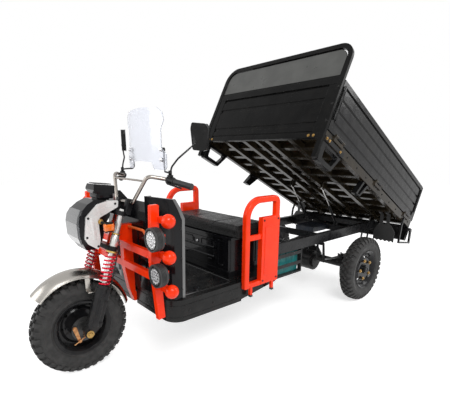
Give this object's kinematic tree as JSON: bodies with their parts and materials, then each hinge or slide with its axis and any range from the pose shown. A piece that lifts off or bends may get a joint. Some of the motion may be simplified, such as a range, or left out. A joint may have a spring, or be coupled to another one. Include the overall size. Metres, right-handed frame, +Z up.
{
  "type": "cargo tricycle",
  "caption": "Electric cargo tricycle with a tipping load bed and drop sides, telescopic front fork with springs, windscreen, footwell, bench seat and red tube guards.",
  "frame": {"origin": "on the ground at the middle of the length and width", "axes": "+X forward to the steered wheel, +Y to the rider's left, +Z up"},
  "size_m": [3.466, 1.272, 1.9816],
  "materials": {
    "red_paint": "glossy red-orange powder coat",
    "black_paint": "glossy black paint",
    "chassis_paint": "satin black paint",
    "spring_paint": "glossy crimson coating",
    "chrome": "polished chrome",
    "stainless": "polished stainless steel",
    "wheel_paint": "gloss black enamel",
    "tyre": "matt rubber",
    "black_plastic": "fine-grained moulded plastic",
    "gloss_black": "gloss moulded plastic",
    "silver_plastic": "silver-white lacquered plastic",
    "lens": "smoked clear lens",
    "screen": "clear polycarbonate",
    "tail_red": "red lamp lens",
    "amber": "amber lens",
    "lamp_black": "rubbery black lamp housing",
    "seat_cover": "black leatherette",
    "grip_rubber": "matt rubber",
    "battery_case": "teal plastic case",
    "orange_sleeve": "orange conduit",
    "cast_metal": "cast aluminium"
  },
  "bodies": {
    "chassis": {"chassis_frame": "chassis_paint", "neck_frame": "red_paint", "front_bumper": "red_paint", "bumper_lamps": "lamp_black", "leg_shield": "black_plastic", "footboard": "black_plastic", "seat_box": "gloss_black", "seat_cushion": "seat_cover", "side_guard_left": "red_paint", "side_guard_right": "red_paint", "battery_rack": "chassis_paint", "batteries": "battery_case", "rear_axle": "chassis_paint", "leaf_springs": "chassis_paint", "controller_box": "cast_metal", "wiring_conduit": "orange_sleeve"},
    "steering": {"fork_legs": "chassis_paint", "fork_tubes": "chrome", "fork_springs": "spring_paint", "fork_yokes": "chassis_paint", "handlebar": "stainless", "grips": "grip_rubber", "switch_housings": "black_plastic", "mirrors": "black_plastic", "windshield": "screen", "windshield_brackets": "chassis_paint", "headlamp": "gloss_black", "headlamp_lens": "lens", "headlamp_plates": "silver_plastic", "instrument_pod": "gloss_black", "turn_signals": "amber", "front_mudguard": "stainless", "front_brake_plate": "cast_metal", "brake_cable": "black_plastic"},
    "front_wheel": {"front_tyre": "tyre", "front_rim": "wheel_paint"},
    "rear_wheel_left": {"rear_left_tyre": "tyre", "rear_left_rim": "wheel_paint"},
    "rear_wheel_right": {"rear_right_tyre": "tyre", "rear_right_rim": "wheel_paint"},
    "seat_door": {"seat_box_door": "gloss_black"},
    "bed": {"bed_frame": "black_paint", "headboard": "black_paint", "bed_brackets": "black_paint", "mud_flaps": "grip_rubber", "tail_lamps": "tail_red", "tail_board": "black_paint"},
    "bed_side_left": {"side_left": "black_paint"},
    "bed_side_right": {"side_right": "black_paint"},
    "bed_tailgate": {"tailgate": "black_paint"},
    "strut_tube_pair": {"strut_tubes": "chassis_paint"},
    "strut_rod_pair": {"strut_rods": "chrome"}
  },
  "joints": [
    {"name": "steering_turn", "type": "hinge", "parent": "chassis", "child": "steering", "pos_m": [1.20298, 0, 0.82685], "axis": [-0.3206, 0, 0.9472], "range_deg": [-35, 35]},
    {"name": "front_wheel_roll", "type": "hinge", "parent": "steering", "child": "front_wheel", "pos_m": [1.45881, 0, 0.28], "axis": [0, 1, 0], "continuous": true},
    {"name": "rear_left_wheel_roll", "type": "hinge", "parent": "chassis", "child": "rear_wheel_left", "pos_m": [-0.82919, 0.526, 0.28], "axis": [0, 1, 0], "continuous": true},
    {"name": "rear_right_wheel_roll", "type": "hinge", "parent": "chassis", "child": "rear_wheel_right", "pos_m": [-0.82919, -0.526, 0.28], "axis": [0, 1, 0], "continuous": true},
    {"name": "seat_door_swing", "type": "hinge", "parent": "chassis", "child": "seat_door", "pos_m": [0.57611, 0, 0.554], "axis": [0, 1, 0], "range_deg": [0, 90]},
    {"name": "bed_tip", "type": "hinge", "parent": "chassis", "child": "bed", "pos_m": [-1.38319, 0, 0.608], "axis": [0, -1, 0], "range_deg": [-27.3, 0]},
    {"name": "side_left_drop", "type": "hinge", "parent": "bed", "child": "bed_side_left", "pos_m": [-0.78342, 0.627, 1.0256], "axis": [-0.8886, 0, -0.4587], "range_deg": [0, 175]},
    {"name": "side_right_drop", "type": "hinge", "parent": "bed", "child": "bed_side_right", "pos_m": [-0.78342, -0.627, 1.0256], "axis": [0.8886, 0, 0.4587], "range_deg": [0, 175]},
    {"name": "tailgate_drop", "type": "hinge", "parent": "bed", "child": "bed_tailgate", "pos_m": [-1.57695, 0, 0.61602], "axis": [0, -1, 0], "range_deg": [0, 175]},
    {"name": "strut_swing", "type": "hinge", "parent": "chassis", "child": "strut_tube_pair", "pos_m": [-0.96019, 0, 0.613], "axis": [0, -1, 0], "range_deg": [-53.82, 0.5]},
    {"name": "strut_slide", "type": "slide", "parent": "strut_tube_pair", "child": "strut_rod_pair", "axis": [0.6206, 0, 0.7841], "range_m": [-0.0853, 0.001]}
  ],
  "couplings": [
    {"joint": "strut_swing", "follows": "bed_tip", "ratio": 1.953},
    {"joint": "strut_slide", "follows": "bed_tip", "m_per_rad": 0.17701}
  ]
}
